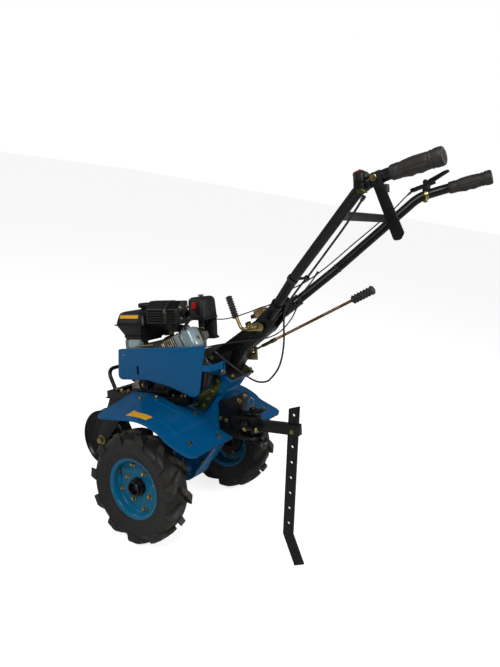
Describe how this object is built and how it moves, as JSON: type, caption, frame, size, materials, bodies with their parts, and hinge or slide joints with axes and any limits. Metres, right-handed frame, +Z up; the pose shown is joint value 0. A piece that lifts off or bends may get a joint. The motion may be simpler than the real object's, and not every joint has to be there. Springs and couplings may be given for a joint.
{
  "type": "hand tractor",
  "caption": "Walking tractor with a belt-driven petrol engine on a leaning gearbox, lugged drive wheels, a small front transport wheel, long tilting handlebars and a swinging drag stake.",
  "frame": {"origin": "on the floor, midway between the front of the transport wheel and the ends of the grips, in the middle of the track", "axes": "+X forward along the direction of travel, +Y to the left, +Z up from the floor; the machine is parked nose down on its transport wheel, drive wheels and drag stake"},
  "size_m": [1.3732, 0.666, 1.4496],
  "materials": {
    "blue_paint": "gloss",
    "rim_paint": "gloss",
    "black_paint": "semi-gloss powder coat",
    "black_plastic": "fine moulded grain",
    "black_rubber": "matt",
    "tyre_rubber": "matt, dusty lugs",
    "yellow_zinc": "yellow passivated zinc plate",
    "cast_aluminium": "as cast",
    "pale_cover": "satin",
    "dark_steel": "dark, oily"
  },
  "bodies": {
    "root": {"front_fork": "black_paint", "gearbox_housing": "blue_paint", "gearbox_side_plate": "yellow_zinc", "column_base": "black_paint", "handlebar_post": "black_paint", "engine_bed": "black_paint", "engine_plate": "black_paint", "front_bumper": "black_paint", "left_fender": "blue_paint", "right_fender": "blue_paint", "crankcase": "cast_aluminium", "cylinder": "cast_aluminium", "rocker_cover": "pale_cover", "fuel_tank": "black_plastic", "fuel_cap": "black_plastic", "muffler": "black_paint", "air_filter": "black_plastic", "carburettor": "cast_aluminium", "recoil_starter": "black_paint", "driven_pulley": "dark_steel", "engine_pulley": "dark_steel", "drive_belt": "black_rubber", "belt_guard": "blue_paint", "guard_strap": "blue_paint", "gear_lever": "yellow_zinc", "gear_guide": "yellow_zinc", "lock_lever": "yellow_zinc", "tilt_quadrant": "yellow_zinc", "hitch_bracket": "black_paint", "clutch_cable": "black_rubber", "throttle_cable": "black_rubber", "stop_wire": "black_rubber"},
    "drive_wheels": {"drive_axle": "dark_steel", "left_tyre": "tyre_rubber", "left_rim": "rim_paint", "left_hub": "black_paint", "right_tyre": "tyre_rubber", "right_rim": "rim_paint", "right_hub": "black_paint"},
    "front_wheel": {"front_wheel": "black_paint"},
    "handlebar": {"handlebar_head": "black_paint", "left_handlebar": "black_paint", "right_handlebar": "black_paint", "left_grip": "black_rubber", "right_grip": "black_rubber", "cross_brace": "black_paint", "clutch_lever": "black_paint", "stop_switch": "black_plastic", "throttle_lever": "black_paint"},
    "drag_hitch": {"drag_arm": "black_paint", "drag_stake": "black_paint"}
  },
  "joints": [
    {"name": "drive_wheels_turn", "type": "hinge", "parent": "root", "child": "drive_wheels", "pos_m": [0.11423, 0, 0.203], "axis": [0, 1, 0], "continuous": true},
    {"name": "front_wheel_turn", "type": "hinge", "parent": "root", "child": "front_wheel", "pos_m": [0.55847, 0, 0.126], "axis": [0, 1, 0], "continuous": true},
    {"name": "handlebar_tilt", "type": "hinge", "parent": "root", "child": "handlebar", "pos_m": [-0.12815, 0, 0.83046], "axis": [0, 1, 0], "range_deg": [-12, 18], "deforming": ["clutch_cable", "throttle_cable", "stop_wire"]},
    {"name": "drag_hitch_swing", "type": "hinge", "parent": "root", "child": "drag_hitch", "pos_m": [-0.14831, 0, 0.45896], "axis": [0.2597, 0, 0.9657], "range_deg": [-12, 12]}
  ]
}
